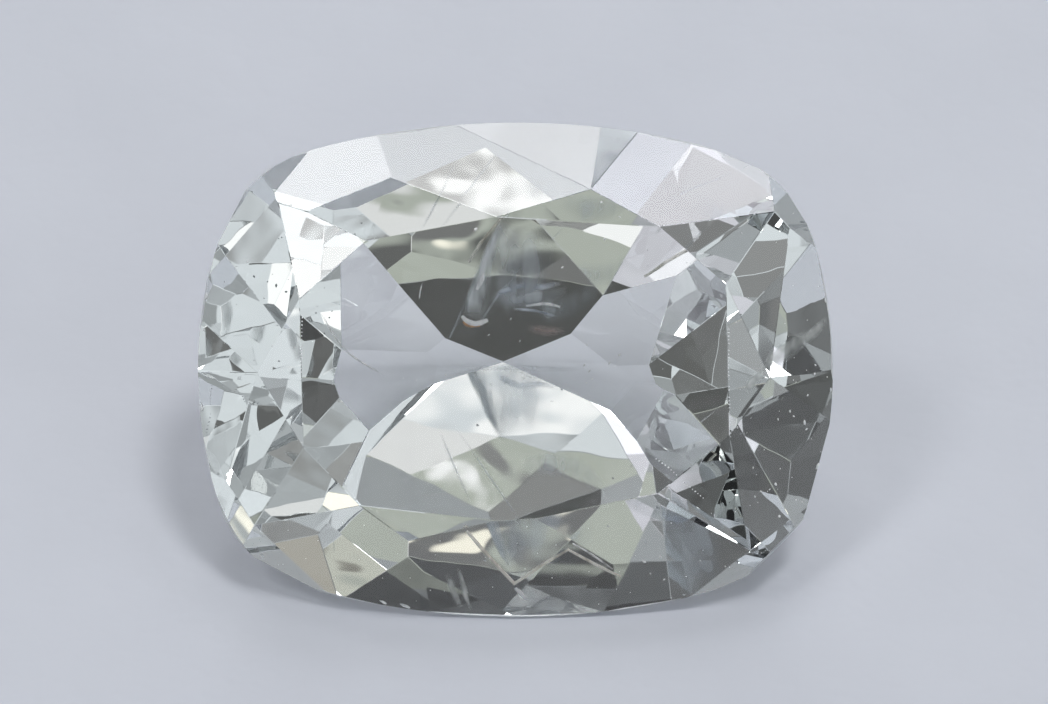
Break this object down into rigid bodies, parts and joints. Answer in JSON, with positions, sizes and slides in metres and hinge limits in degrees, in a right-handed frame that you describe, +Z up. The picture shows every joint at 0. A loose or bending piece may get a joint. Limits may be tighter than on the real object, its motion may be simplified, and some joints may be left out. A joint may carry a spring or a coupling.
{
  "type": "faceted beryl",
  "caption": "Loose cushion-cut beryl gemstone, clear and nearly colourless, resting on a pavilion facet with its table tilted forward.",
  "frame": {"origin": "middle of the footprint, on the surface that the stone lies on", "axes": "+X along the stone's long girdle axis, +Z up; the table faces up and towards -Y"},
  "size_m": [0.009, 0.0054, 0.0047],
  "materials": {
    "beryl": "polished flat facets, transparent with a trace of grey green, fine frosted girdle"
  },
  "bodies": {
    "root": {"beryl": "beryl"}
  },
  "joints": []
}
